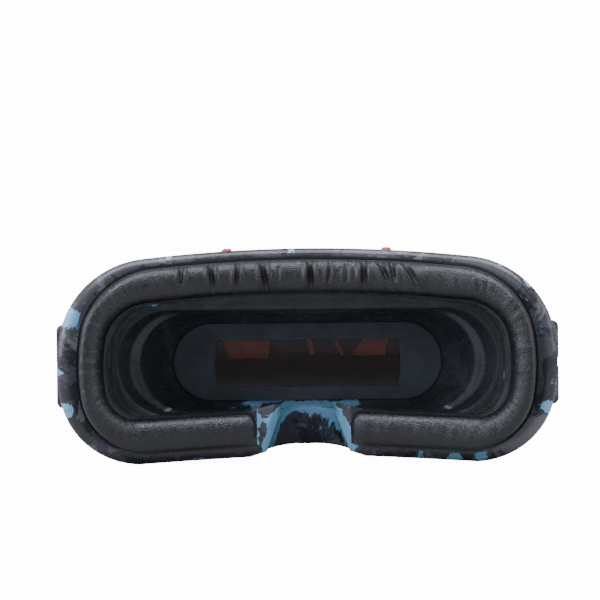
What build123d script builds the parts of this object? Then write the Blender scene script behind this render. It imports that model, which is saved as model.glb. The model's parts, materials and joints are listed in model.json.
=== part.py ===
"""FPV goggles: a box-type video headset that shows a screen through mirror optics.

The wearer's face is at -Y and looks along +Y, +X is the wearer's right and +Z is up.
The origin is at the middle of the footprint, on the surface that the goggles stand on.
"""
import os
from math import asin, degrees

from build123d import *

os.makedirs("parts", exist_ok=True)

# ---- Housing outline, seen from the face side ----
CROWN_Z = 81.6  # top of the housing in the middle
CROWN_RADIUS = 477.0  # the top is one wide arc
CROWN_X = 62.0  # where the top arc meets the shoulders
SIDE_X = 91.5  # where the shoulders and heels meet the bulged sides
SIDE_LEAN = 0.2  # how much the side is lowered at its ends, for each mm drawn in
SHOULDER_Z = 50.0
HEEL_Z = 24.0
FOOT_X = 64.0  # the housing stands on its two feet
ARCH_X = 22.0  # the nose arch under the middle
ARCH_Z = 1.9
ARCH_MID = (13.0, 4.4)
ARCH_TOP_Z = 5.2

# ---- Housing depth ----
WALL = 2.2
FACE_RADIUS = 194.0  # the rim wraps round the face on this radius
FACE_AXIS_Y = -217.4  # the wrap's vertical axis
RIM_FILLET = 3.0
RIM_BACK_Y = -80.0  # behind everything
PARTING_Y = 14.0  # rear and front shells meet here
WAIST_Y = -5.0  # the sides begin to taper here
WAIST_X = 94.0
CHEEK_X = 70.0  # front corners
CHEEK_Y = 45.0
FRONT_Y = 50.0  # front face in the middle
SLOPE_Y = 16.0  # the top begins to slope here
FRONT_TOP_Z = 76.0
CHIN_Y = 40.0
CHIN_Z = 9.0
WAIST_FILLET = 30.0
CHEEK_FILLET = 12.0
BROW_FILLET = 12.0

# ---- Face pad and its frame ----
FRAME_INSET = 3.4
FRAME_SQUEEZE = 4.0  # the rim is wider at the sides
FRAME_THICKNESS = 1.6
LIP_WIDTH = 0.8
LIP_HEIGHT = 2.6
PAD_INSET = 4.6
PAD_HEIGHT = 12.0
MOUTH_INSET = 17.5
NOSE_GAP = (-19.4, 16.4)  # the pad sits a little to the left, so its ends do too
NOSE_GAP_TOP_Z = 30.0

# ---- Funnel ----
LEDGE_Y = -20.0  # floor of the mouth, where the stadium funnel begins
FUNNEL_Z = 38.1
LEDGE_SIZE = (146.0, 40.5)
STEP_Y = (-13.5, -12.5)  # a narrow step runs round the funnel half way in
STEP_SIZES = ((137.0, 39.5), (130.0, 38.0))
THROAT_Y = 0.0
THROAT_SIZE = (114.6, 36.3)
BEZEL_Y = 5.0
BEZEL_SIGHT = (106.0, 30.4)
OPTIC_Z = 37.5  # height of the optical axis

# ---- Nose hollow ----
NOSE_TOP_Z = 26.0
NOSE_TOP_HALF = 8.0
NOSE_TOP_END_Y = -1.5
NOSE_LOW_Z = -2.0
NOSE_LOW_HALF = 18.0
NOSE_LOW_END_Y = 12.0
NOSE_LENGTH = 80.0
NOSE_FLARE_Y = (-30.0, -16.0)  # the hollow flares out to the rim between these depths
NOSE_FLARE = (6.35, -1.75)  # how far past the hollow's own sides at each of them

# ---- Optics ----
BEZEL_PLATE = (118.0, 40.0, 2.0)
WINDOW_SIGHT = (70.6, 18.8)
WINDOW_BULGE = 1.5
WINDOW_PLATE = (80.0, 25.0, 1.5)
BOX_HALF_X = 50.0
BOX_WALL = 2.0
BOX_BACK_Y = BEZEL_Y + BEZEL_PLATE[2]
BOX_FRONT_Y = 39.6
BOX_BOTTOM_Z = 18.0
BOX_TOP_Z = 66.0
SPLITTER = (94.0, 40.0, 1.1)
SPLITTER_Y = 24.5
MIRROR_SIZE = (88.0, 32.0)
MIRROR_THICKNESS = 5.8
MIRROR_RADIUS = 240.0
MIRROR_MIN = 1.0
LCD_SIZE = (95.0, 54.0, 3.4)
LCD_Y = 17.0
LCD_SIGHT = (86.0, 28.0)
BRACKET_SIZE = (99.0, 46.0, 2.0)
BRACKET_Y = 11.0
BRACKET_WINDOW = (60.0, 24.0)
RAIL_WIDTH = 3.0
RAIL_DEPTH = 1.6
TAB_THICKNESS = 0.2
TAB_Y = BOX_BACK_Y + BOX_WALL
TAB_TUCK = 1.5
# Each tab's corners along X, from the top left clockwise, and how far it hangs into the window.
TABS = (
    (-33.9, -14.7, -15.9, -31.3, 7.6),
    (-0.4, 1.6, 2.8, 0.8, 6.4),
    (9.6, 11.0, 14.8, 13.2, 6.6),
    (23.1, 32.5, 30.9, 17.9, 6.6),
)

# ---- Electronics ----
BOARD_SCREW_R = 0.8
BOARD_SIZE = (88.0, 45.0, 1.6)
BOARD_Y = 8.5
BOARD_Z = 72.6
BOARD_HOLE_X = 40.0
BOARD_HOLE_Y = 17.0
BOARD_HOLE_R = 1.1
BOARD_SCREW_HEAD = 1.0
BOARD_SCREW_LENGTH = 4.6
CHIPS = ((-14.0, 2.0, 10.0), (12.0, 5.0, 12.0))
CHIP_HEIGHT = 1.2
BUZZER_X = 0.0
BUZZER_R = 4.5
BUZZER_HEIGHT = 3.0
TACT_SIZE = 6.0
TACT_HEIGHT = 1.2
TACT_STEM_R = 1.0
SLIDE_PLAY = 0.1
FLANGE_LEDGE = 0.8
FLANGE_THICKNESS = 0.7
RED_FLANGE_Z = 77.2
MENU_FLANGE_Z = 76.0
CAP_DOME = 0.6
TRAVEL = 0.3
RED_X = 31.4
RED_Y = 0.0
RED_CAP_R = 2.1
RED_TOP_Z = 82.9
MENU_X = (-12.0, 0.0, 12.0)
MENU_Y = 26.0
MENU_CAP_R = 2.5
MENU_TOP_Z = 81.2
HOLE_PLAY = 0.2
RECEIVER_SIZE = (3.5, 28.0, 23.0)
RECEIVER_Y = 22.0
RECEIVER_Z = 37.5
BATTERY_SIZE = (9.0, 34.0, 42.0)
BATTERY_X = 69.0
BATTERY_Y = 13.0
BATTERY_Z = 39.0
BATTERY_FILLET = 2.0
SHELF_TOP_Z = BATTERY_Z - BATTERY_SIZE[2] / 2

# ---- Ports on the front face ----
PORT_X = 58.0
PORT_PAD_R = 6.0
PORT_FACE_Y = 45.8
PORT_BACK_Y = 43.0
JACK_Z = 57.0
JACK_R = 3.175
JACK_NECK_R = 2.8  # behind the flange, through the wall and the nut
JACK_TIP_Y = 55.84
JACK_TAIL_Y = 37.0
JACK_BORE_R = 0.8
JACK_BORE_DEPTH = 6.0
HEX_R = 4.6
NUT_THICKNESS = 2.2
HIGH_PORT_Z = 39.0
LOW_PORT_Z = 21.0
AV_BORE_R = 1.8
PORT_SEAT_Y = 42.6  # the ports sit on this plane inside the front wall
AV_BORE_DEPTH = 10.0
AV_BODY = (7.0, 12.0, 8.0)
DC_BORE_R = 2.8
DC_PIN_R = 1.0
DC_BORE_DEPTH = 9.0
DC_BODY = (9.0, 11.0, 9.0)
SLIDER_TRAVEL = 4.0
SLIDER_SIZE = (4.4, 3.0)
SLIDER_BACK_Y = 40.8
SLIDER_TIP_Y = 48.2
SLIDER_EDGE_R = 0.4
SLIDER_SLOT = (9.2, 3.4)
SWITCH_BODY = (8.8, 5.0, 6.0)
CARD_SIZE = (11.0, 15.0, 0.9)
CARD_FRONT_Y = 48.0
CARD_SLOT_SIZE = (12.4, 14.6, 2.0)
LIGHT_PIPE_R = 1.2
LIGHT_PIPE_Z = 14.0
LIGHT_PIPE_TIP_Y = 50.3
LIGHT_PIPE_LENGTH = 4.0

# ---- Strap loops ----
LOOP_X = 98.7
LOOP_BAR = 2.8
LOOP_EDGE_R = 0.7
LOOP_Y = (-3.0, 4.0)
LOOP_Z = (20.5, 53.5)
LOOP_GAP = 3.4
LOOP_ROOT_X = 80.0
LOOP_CORNER_R = 2.6

# ---- Fasteners ----
POST_X = 60.0
POST_Z = (9.0, 70.0)
POST_R = 3.4
SCREW_R = 1.3
SCREW_PILOT_R = 1.3
SCREW_LENGTH = 9.0
SCREW_HEAD_R = 2.3
SCREW_HEAD = 1.7
HEAD_BORE_R = 2.6
POST_SEAT = 3.0


def across(y):
    """The plane across the goggles at depth y, seen from the face side."""
    return Plane(origin=(0, y, 0), x_dir=(1, 0, 0), z_dir=(0, -1, 0))


def outline(inset, squeeze=0.0):
    """The housing's outline, drawn in by inset all round and by squeeze more at the sides."""
    crown_radius = CROWN_RADIUS - inset
    crown_x = CROWN_X * crown_radius / CROWN_RADIUS - squeeze
    side_x = SIDE_X - inset - squeeze
    side_in = inset * SIDE_LEAN
    with BuildSketch(across(0)) as drawn:
        with BuildLine():
            crown_angle = degrees(asin(crown_x / crown_radius))
            crown = JernArc((0, CROWN_Z - inset), (1, 0), crown_radius, -crown_angle)
            shoulder = TangentArc(crown @ 1, (side_x, SHOULDER_Z - side_in), tangent=crown % 1)
            side = TangentArc(shoulder @ 1, (side_x, HEEL_Z + side_in), tangent=shoulder % 1)
            heel = TangentArc(side @ 1, (FOOT_X - squeeze, inset), tangent=side % 1)
            belly = Line(heel @ 1, (ARCH_X, ARCH_Z + inset))
            ThreePointArc(belly @ 1, (ARCH_MID[0], ARCH_MID[1] + inset), (0, ARCH_TOP_Z + inset))
            mirror(about=Plane.YZ)
        make_face()
    return drawn.sketch


def prism(inset, squeeze=0.0):
    """The outline run right through the goggles."""
    with BuildPart() as run:
        extrude(outline(inset, squeeze), amount=-RIM_BACK_Y, both=True)
    return run.part


def face_layer(low, high):
    """A curved slab that follows the face, from low to high above the rim's surface."""
    with BuildPart() as slab:
        with BuildSketch(Plane.XY):
            with Locations((0, FACE_AXIS_Y)):
                Circle(FACE_RADIUS - low)
                Circle(FACE_RADIUS - high, mode=Mode.SUBTRACT)
        extrude(amount=2 * CROWN_Z, both=True)
    return slab.part


def housing_block(inset):
    """The whole housing as one block, drawn in by inset on every side."""
    back_radius = FACE_RADIUS + inset
    waist_x = WAIST_X - inset
    cheek_x = CHEEK_X - inset
    cheek_y = CHEEK_Y - inset
    front_y = FRONT_Y - inset
    with BuildPart() as block:
        extrude(outline(inset), amount=-RIM_BACK_Y, both=True)
        with BuildSketch(Plane.XY) as plan:
            with BuildLine():
                back = JernArc((0, FACE_AXIS_Y + back_radius), (1, 0), back_radius,
                               -degrees(asin(waist_x / back_radius)))
                Polyline(back @ 1, (waist_x, WAIST_Y), (cheek_x, cheek_y))
                ThreePointArc((cheek_x, cheek_y), (cheek_x / 2, (cheek_y + 3 * front_y) / 4), (0, front_y))
                mirror(about=Plane.YZ)
            make_face()
            waist = plan.vertices().filter_by(lambda v: abs(v.Y - WAIST_Y) < WALL)
            fillet(waist, WAIST_FILLET)
            cheeks = plan.vertices().filter_by(lambda v: abs(v.Y - cheek_y) < WALL and abs(v.X) > PORT_X)
            fillet(cheeks, CHEEK_FILLET - inset)
        extrude(amount=2 * CROWN_Z, both=True, mode=Mode.INTERSECT)
        with BuildSketch(Plane.YZ) as profile:
            with BuildLine():
                Polyline(
                    (RIM_BACK_Y, -WALL),
                    (RIM_BACK_Y, CROWN_Z - inset),
                    (SLOPE_Y, CROWN_Z - inset),
                    (front_y, FRONT_TOP_Z - inset),
                    (front_y, CHIN_Z + inset / 2),
                    (CHIN_Y - inset / 2, inset),
                    (CHIN_Y - inset / 2, -WALL),
                    close=True,
                )
            make_face()
            brow = profile.vertices().filter_by(lambda v: v.X > CHIN_Y and v.Y > CHIN_Z + WALL)
            fillet(brow, BROW_FILLET - inset)
        extrude(amount=2 * WAIST_X, both=True, mode=Mode.INTERSECT)
        if inset == 0:
            curved = block.faces().filter_by(GeomType.CYLINDER)
            rim_face = curved.filter_by(lambda f: abs(f.radius - FACE_RADIUS) < WALL)
            fillet(rim_face[0].edges(), RIM_FILLET)
    return block.part


def funnel(grow):
    """The stepped light funnel round the eyes, swelled by grow."""
    with BuildPart() as hollow:
        extrude(outline(MOUTH_INSET - grow).face().moved(Location((0, LEDGE_Y + grow, 0))),
                amount=-RIM_BACK_Y)
        stations = [
            (LEDGE_Y + grow, LEDGE_SIZE),
            (STEP_Y[0] + grow, STEP_SIZES[0]),
            (STEP_Y[1] + grow, STEP_SIZES[1]),
            (THROAT_Y + grow, THROAT_SIZE),
            (BEZEL_Y, BEZEL_SIGHT),
        ]
        for (back_y, back_size), (front_y, front_size) in zip(stations, stations[1:]):
            with BuildSketch(across(back_y)):
                with Locations((0, FUNNEL_Z)):
                    SlotOverall(back_size[0] + 2 * grow, back_size[1] + 2 * grow)
            with BuildSketch(across(front_y)):
                with Locations((0, FUNNEL_Z)):
                    SlotOverall(front_size[0] + 2 * grow, front_size[1] + 2 * grow)
            loft()
    return hollow.part


def nose(grow):
    """The hollow for the nose, wider and deeper towards the bottom, swelled by grow."""
    stations = [
        (NOSE_LOW_Z, NOSE_LOW_HALF, NOSE_LOW_END_Y),
        (NOSE_TOP_Z, NOSE_TOP_HALF, NOSE_TOP_END_Y),
    ]
    with BuildPart() as hollow:
        for height, half, end_y in stations:
            with BuildSketch(Plane.XY.offset(height)):
                with Locations((0, end_y + grow - NOSE_LENGTH / 2)):
                    SlotOverall(NOSE_LENGTH, 2 * (half + grow), rotation=90)
        loft()
        for depth, flare in zip(NOSE_FLARE_Y, NOSE_FLARE):
            low = NOSE_LOW_HALF + flare + grow
            high = NOSE_TOP_HALF + flare + grow
            with BuildSketch(across(depth)):
                with BuildLine():
                    Polyline(
                        (-low, NOSE_LOW_Z), (-high, NOSE_TOP_Z), (high, NOSE_TOP_Z), (low, NOSE_LOW_Z),
                        close=True,
                    )
                make_face()
        loft()
    return hollow.part


def behind(y):
    """Everything on the face side of depth y."""
    with BuildPart() as half:
        with BuildSketch(across(y)):
            Rectangle(3 * WAIST_X, 4 * CROWN_Z)
        extrude(amount=2 * abs(RIM_BACK_Y))
    return half.part


outer_block = housing_block(0)
inner_block = housing_block(WALL)
funnel_cut = funnel(0)
nose_cut = nose(0)
rear_half = behind(PARTING_Y)

# ---- Rear shell: rim, funnel, nose saddle, screw posts and battery shelves ----
with BuildPart() as lining:
    add(funnel(WALL))
    add(nose(WALL))
    with BuildSketch(across(PARTING_Y)):
        for post_z in POST_Z:
            with Locations((-POST_X, post_z), (POST_X, post_z)):
                Circle(POST_R)
    extrude(amount=-RIM_BACK_Y)
    for side in (-1, 1):
        with Locations((side * BATTERY_X, 0, SHELF_TOP_Z)):
            Box(BATTERY_SIZE[0], 2 * PARTING_Y, SHELF_TOP_Z,
                align=(Align.CENTER, Align.CENTER, Align.MAX))
    add(outer_block, mode=Mode.INTERSECT)

with BuildPart() as rear_shell:
    add(outer_block)
    add(inner_block, mode=Mode.SUBTRACT)
    add(lining.part)
    add(funnel_cut, mode=Mode.SUBTRACT)
    add(nose_cut, mode=Mode.SUBTRACT)
    with BuildSketch(across(PARTING_Y)):
        for post_z in POST_Z:
            with Locations((-POST_X, post_z), (POST_X, post_z)):
                Circle(SCREW_PILOT_R)
    extrude(amount=SCREW_LENGTH, mode=Mode.SUBTRACT)
    with BuildSketch(Plane.XY.offset(BOARD_Z)):
        with Locations((-RED_X, RED_Y), (RED_X, RED_Y)):
            Circle(RED_CAP_R + HOLE_PLAY)
    extrude(amount=CROWN_Z, mode=Mode.SUBTRACT)
    add(rear_half, mode=Mode.INTERSECT)
rear_shell.part.label = "rear_shell"
export_step(rear_shell.part, "parts/rear_shell.step")

# ---- Front shell: the front half of the housing, with its ports and screw posts ----
with BuildPart() as front_posts:
    with BuildSketch(across(PARTING_Y)):
        for post_z in POST_Z:
            with Locations((-POST_X, post_z), (POST_X, post_z)):
                Circle(POST_R)
    extrude(amount=-FRONT_Y)
    with BuildSketch(across(PORT_BACK_Y)):
        with Locations((-PORT_X, JACK_Z), (PORT_X, JACK_Z)):
            Circle(PORT_PAD_R)
    extrude(amount=-FRONT_Y)
    add(outer_block, mode=Mode.INTERSECT)

with BuildPart() as front_shell:
    add(outer_block)
    add(inner_block, mode=Mode.SUBTRACT)
    add(front_posts.part)
    add(rear_half, mode=Mode.SUBTRACT)
    with BuildSketch(across(FRONT_Y)):
        for post_z in POST_Z:
            with Locations((-POST_X, post_z), (POST_X, post_z)):
                Circle(HEAD_BORE_R)
    extrude(amount=FRONT_Y - PARTING_Y - POST_SEAT, mode=Mode.SUBTRACT)
    with BuildSketch(across(FRONT_Y)):
        for post_z in POST_Z:
            with Locations((-POST_X, post_z), (POST_X, post_z)):
                Circle(SCREW_R + HOLE_PLAY)
        with Locations((-PORT_X, JACK_Z), (PORT_X, JACK_Z)):
            Circle(JACK_NECK_R + HOLE_PLAY / 2)
        with Locations((-PORT_X, HIGH_PORT_Z)):
            Circle(AV_BORE_R + HOLE_PLAY)
        with Locations((-PORT_X, LOW_PORT_Z)):
            Circle(DC_BORE_R + HOLE_PLAY)
        with Locations((PORT_X, HIGH_PORT_Z)):
            Rectangle(*SLIDER_SLOT)
        with Locations((PORT_X, LOW_PORT_Z)):
            Rectangle(CARD_SIZE[0] + 4 * HOLE_PLAY, CARD_SIZE[2] + 2 * HOLE_PLAY)
        with Locations((0, LIGHT_PIPE_Z)):
            Circle(LIGHT_PIPE_R)
    extrude(amount=FRONT_Y - PARTING_Y, mode=Mode.SUBTRACT)
    with BuildSketch(across(PORT_FACE_Y)):
        with Locations((-PORT_X, JACK_Z), (PORT_X, JACK_Z)):
            Circle(PORT_PAD_R)
    extrude(amount=-FRONT_Y, mode=Mode.SUBTRACT)
    with BuildSketch(Plane.XY.offset(BOARD_Z)):
        for menu_x in MENU_X:
            with Locations((menu_x, MENU_Y)):
                Circle(MENU_CAP_R + HOLE_PLAY)
    extrude(amount=CROWN_Z, mode=Mode.SUBTRACT)
front_shell.part.label = "front_shell"
export_step(front_shell.part, "parts/front_shell.step")

# ---- Face pad on its plastic frame, both open at the nose ----
mouth = prism(MOUTH_INSET)

with BuildPart() as nose_gap:
    with BuildSketch(Plane.XY):
        with Locations((NOSE_GAP[0], 0)):
            Rectangle(NOSE_GAP[1] - NOSE_GAP[0], -2 * RIM_BACK_Y, align=(Align.MIN, Align.CENTER))
    extrude(amount=NOSE_GAP_TOP_Z)

with BuildPart() as tray:
    add(prism(FRAME_INSET + LIP_WIDTH, FRAME_SQUEEZE))
    add(face_layer(FRAME_THICKNESS, PAD_HEIGHT), mode=Mode.INTERSECT)

with BuildPart() as pad_frame:
    add(prism(FRAME_INSET, FRAME_SQUEEZE))
    add(face_layer(0, LIP_HEIGHT), mode=Mode.INTERSECT)
    add(tray.part, mode=Mode.SUBTRACT)
    add(mouth, mode=Mode.SUBTRACT)
    add(nose_gap.part, mode=Mode.SUBTRACT)
pad_frame.part.label = "pad_frame"
export_step(pad_frame.part, "parts/pad_frame.step")

with BuildPart() as face_pad:
    add(prism(PAD_INSET, FRAME_SQUEEZE))
    add(face_layer(FRAME_THICKNESS, PAD_HEIGHT), mode=Mode.INTERSECT)
    add(mouth, mode=Mode.SUBTRACT)
    add(nose_gap.part, mode=Mode.SUBTRACT)
face_pad.part.label = "face_pad"
export_step(face_pad.part, "parts/face_pad.step")

# ---- Bezel and smoked window ----
with BuildPart() as optics_bezel:
    with BuildSketch(across(BEZEL_Y)):
        with Locations((0, FUNNEL_Z)):
            RectangleRounded(BEZEL_PLATE[0], BEZEL_PLATE[1], BEZEL_PLATE[2])
    extrude(amount=-BEZEL_PLATE[2])
    with BuildSketch(across(BEZEL_Y)):
        with Locations((0, OPTIC_Z)):
            Rectangle(*WINDOW_SIGHT)
        with Locations((-WINDOW_SIGHT[0] / 2, OPTIC_Z), (WINDOW_SIGHT[0] / 2, OPTIC_Z)):
            Ellipse(WINDOW_BULGE, WINDOW_SIGHT[1] / 2)
    extrude(amount=-BEZEL_PLATE[2], mode=Mode.SUBTRACT)
optics_bezel.part.label = "optics_bezel"
export_step(optics_bezel.part, "parts/optics_bezel.step")

with BuildPart() as window_glass:
    with BuildSketch(across(BOX_BACK_Y)):
        with Locations((0, OPTIC_Z)):
            RectangleRounded(WINDOW_PLATE[0], WINDOW_PLATE[1], WINDOW_PLATE[2])
    extrude(amount=-WINDOW_PLATE[2])
window_glass.part.label = "window_glass"
export_step(window_glass.part, "parts/window_glass.step")

# ---- Optics box: window behind, screen above, mirror in front ----
with BuildPart() as splitter_blank:
    splitter_plane = Plane(origin=(0, SPLITTER_Y, OPTIC_Z), x_dir=(1, 0, 0), z_dir=(0, 1, 1))
    with BuildSketch(splitter_plane):
        Rectangle(SPLITTER[0], SPLITTER[1])
    extrude(amount=SPLITTER[2] / 2, both=True)

with BuildPart() as optics_box:
    with BuildSketch(across(BOX_BACK_Y)):
        with Locations((0, BOX_BOTTOM_Z)):
            Rectangle(2 * BOX_HALF_X, BOX_TOP_Z - BOX_BOTTOM_Z, align=(Align.CENTER, Align.MIN))
    extrude(amount=-(BOX_FRONT_Y - BOX_BACK_Y))
    with BuildSketch(across(BOX_BACK_Y + BOX_WALL)):
        with Locations((0, BOX_BOTTOM_Z + BOX_WALL)):
            Rectangle(2 * (BOX_HALF_X - BOX_WALL), BOX_TOP_Z - BOX_BOTTOM_Z - 2 * BOX_WALL,
                      align=(Align.CENTER, Align.MIN))
    extrude(amount=-BOX_FRONT_Y, mode=Mode.SUBTRACT)
    with BuildSketch(across(BOX_BACK_Y)):
        with Locations((0, OPTIC_Z)):
            RectangleRounded(WINDOW_PLATE[0], WINDOW_PLATE[1], WINDOW_PLATE[2])
    extrude(amount=-WINDOW_PLATE[2], mode=Mode.SUBTRACT)
    with BuildSketch(across(BOX_BACK_Y)):
        with Locations((0, OPTIC_Z)):
            Rectangle(WINDOW_SIGHT[0] + 2 * WINDOW_BULGE, WINDOW_SIGHT[1])
    extrude(amount=-2 * BOX_WALL, mode=Mode.SUBTRACT)
    with BuildSketch(Plane.XY.offset(BOX_TOP_Z)):
        with Locations((0, (BOX_BACK_Y + BOX_FRONT_Y) / 2)):
            Rectangle(*LCD_SIGHT)
    extrude(amount=-BOX_WALL, mode=Mode.SUBTRACT)
optics_box.part.label = "optics_box"
export_step(optics_box.part, "parts/optics_box.step")

with BuildPart() as beam_splitter:
    add(splitter_blank.part)
beam_splitter.part.label = "beam_splitter"
export_step(beam_splitter.part, "parts/beam_splitter.step")

# The splitter rests in a slanted rail on each side wall of the box.
for side, name in ((-1, "left"), (1, "right")):
    with BuildPart() as splitter_rail:
        with BuildSketch(splitter_plane.offset(-SPLITTER[2] / 2)):
            with Locations((side * (BOX_HALF_X - BOX_WALL - RAIL_WIDTH / 2), 0)):
                Rectangle(RAIL_WIDTH, SPLITTER[1] - RAIL_WIDTH)
        extrude(amount=-RAIL_DEPTH)
    splitter_rail.part.label = f"splitter_rail_{name}"
    export_step(splitter_rail.part, f"parts/splitter_rail_{name}.step")

with BuildPart() as concave_mirror:
    with BuildSketch(across(BOX_FRONT_Y)):
        with Locations((0, OPTIC_Z)):
            RectangleRounded(MIRROR_SIZE[0], MIRROR_SIZE[1], MIRROR_THICKNESS)
    extrude(amount=-MIRROR_THICKNESS)
    with Locations((0, BOX_FRONT_Y + MIRROR_THICKNESS - MIRROR_MIN - MIRROR_RADIUS, OPTIC_Z)):
        Sphere(MIRROR_RADIUS, mode=Mode.SUBTRACT)
concave_mirror.part.label = "concave_mirror"
export_step(concave_mirror.part, "parts/concave_mirror.step")

with BuildPart() as lcd_panel:
    with Locations((0, LCD_Y, BOX_TOP_Z)):
        Box(*LCD_SIZE, align=(Align.CENTER, Align.CENTER, Align.MIN))
lcd_panel.part.label = "lcd_panel"
export_step(lcd_panel.part, "parts/lcd_panel.step")

lcd_top_z = BOX_TOP_Z + LCD_SIZE[2]
with BuildPart() as lcd_bracket:
    with BuildSketch(Plane.XY.offset(lcd_top_z)):
        with Locations((0, BRACKET_Y)):
            RectangleRounded(BRACKET_SIZE[0], BRACKET_SIZE[1], BRACKET_SIZE[2])
            Rectangle(*BRACKET_WINDOW, mode=Mode.SUBTRACT)
    extrude(amount=BRACKET_SIZE[2])
    with BuildSketch(Plane.XY.offset(lcd_top_z + BRACKET_SIZE[2])):
        with Locations((0, BOARD_Y)):
            with GridLocations(2 * BOARD_HOLE_X, 2 * BOARD_HOLE_Y, 2, 2):
                Circle(2 * BOARD_HOLE_R)
    extrude(amount=BOARD_Z - lcd_top_z - BRACKET_SIZE[2])
    with BuildSketch(Plane.XY.offset(BOARD_Z)):
        with Locations((0, BOARD_Y)):
            with GridLocations(2 * BOARD_HOLE_X, 2 * BOARD_HOLE_Y, 2, 2):
                Circle(BOARD_SCREW_R)
    extrude(amount=lcd_top_z - BOARD_Z, mode=Mode.SUBTRACT)
lcd_bracket.part.label = "lcd_bracket"
export_step(lcd_bracket.part, "parts/lcd_bracket.step")

# Amber insulating tabs and strips hang behind the top of the window.
with BuildPart() as polyimide_tabs:
    tab_top_z = OPTIC_Z + WINDOW_SIGHT[1] / 2 + TAB_TUCK
    for top_left, top_right, bottom_right, bottom_left, drop in TABS:
        with BuildSketch(across(TAB_Y)):
            with BuildLine():
                Polyline(
                    (top_left, tab_top_z),
                    (top_right, tab_top_z),
                    (bottom_right, tab_top_z - TAB_TUCK - drop),
                    (bottom_left, tab_top_z - TAB_TUCK - drop),
                    close=True,
                )
            make_face()
        extrude(amount=-TAB_THICKNESS)
polyimide_tabs.part.label = "polyimide_tabs"
export_step(polyimide_tabs.part, "parts/polyimide_tabs.step")

# ---- Main board, its screws, switches and buzzer ----
board_top_z = BOARD_Z + BOARD_SIZE[2]
with BuildPart() as main_board:
    with BuildSketch(Plane.XY.offset(BOARD_Z)):
        with Locations((0, BOARD_Y)):
            RectangleRounded(BOARD_SIZE[0], BOARD_SIZE[1], BOARD_SIZE[2])
            with GridLocations(2 * BOARD_HOLE_X, 2 * BOARD_HOLE_Y, 2, 2):
                Circle(BOARD_HOLE_R, mode=Mode.SUBTRACT)
    extrude(amount=BOARD_SIZE[2])
    for chip_x, chip_y, chip_size in CHIPS:
        with Locations((chip_x, chip_y, board_top_z)):
            Box(chip_size, chip_size, CHIP_HEIGHT, align=(Align.CENTER, Align.CENTER, Align.MIN))
main_board.part.label = "main_board"
export_step(main_board.part, "parts/main_board.step")

with BuildPart() as board_screws:
    with BuildSketch(Plane.XY.offset(board_top_z)):
        with Locations((0, BOARD_Y)):
            with GridLocations(2 * BOARD_HOLE_X, 2 * BOARD_HOLE_Y, 2, 2):
                Circle(2 * BOARD_SCREW_R)
    extrude(amount=BOARD_SCREW_HEAD)
    with BuildSketch(Plane.XY.offset(board_top_z)):
        with Locations((0, BOARD_Y)):
            with GridLocations(2 * BOARD_HOLE_X, 2 * BOARD_HOLE_Y, 2, 2):
                Circle(BOARD_SCREW_R)
    extrude(amount=-BOARD_SCREW_LENGTH)
board_screws.part.label = "board_screws"
export_step(board_screws.part, "parts/board_screws.step")

with BuildPart() as buzzer:
    with Locations((BUZZER_X, BOARD_Y - BOARD_HOLE_Y, board_top_z)):
        Cylinder(BUZZER_R, BUZZER_HEIGHT, align=(Align.CENTER, Align.CENTER, Align.MIN))
        Hole(BOARD_HOLE_R, depth=CHIP_HEIGHT)
buzzer.part.label = "buzzer"
export_step(buzzer.part, "parts/buzzer.step")

# Every push button has a cap over a small switch that presses back.
buttons = [
    ("red_button_left", "red_switch_left", -RED_X, RED_Y, RED_CAP_R, RED_TOP_Z, RED_FLANGE_Z),
    ("red_button_right", "red_switch_right", RED_X, RED_Y, RED_CAP_R, RED_TOP_Z, RED_FLANGE_Z),
    ("band_button", "band_switch", MENU_X[0], MENU_Y, MENU_CAP_R, MENU_TOP_Z, MENU_FLANGE_Z),
    ("channel_button", "channel_switch", MENU_X[1], MENU_Y, MENU_CAP_R, MENU_TOP_Z, MENU_FLANGE_Z),
    ("search_button", "search_switch", MENU_X[2], MENU_Y, MENU_CAP_R, MENU_TOP_Z, MENU_FLANGE_Z),
]
for cap_name, switch_name, cap_x, cap_y, cap_r, cap_top_z, flange_z in buttons:
    with BuildPart() as push_cap:
        with BuildSketch(Plane.XY.offset(flange_z)):
            with Locations((cap_x, cap_y)):
                Circle(cap_r + FLANGE_LEDGE)
        extrude(amount=FLANGE_THICKNESS)
        with BuildSketch(Plane.XY.offset(flange_z)):
            with Locations((cap_x, cap_y)):
                Circle(cap_r)
        extrude(amount=cap_top_z - flange_z)
        fillet(push_cap.edges().group_by(Axis.Z)[-1], cap_r * CAP_DOME)
    push_cap.part.label = cap_name
    export_step(push_cap.part, f"parts/{cap_name}.step")

    with BuildPart() as tact_switch:
        with BuildSketch(Plane.XY.offset(board_top_z)):
            with Locations((cap_x, cap_y)):
                RectangleRounded(TACT_SIZE, TACT_SIZE, TRAVEL)
        extrude(amount=TACT_HEIGHT)
        with BuildSketch(Plane.XY.offset(board_top_z)):
            with Locations((cap_x, cap_y)):
                Circle(TACT_STEM_R)
        extrude(amount=flange_z - TRAVEL - SLIDE_PLAY - board_top_z)
    tact_switch.part.label = switch_name
    export_step(tact_switch.part, f"parts/{switch_name}.step")

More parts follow.
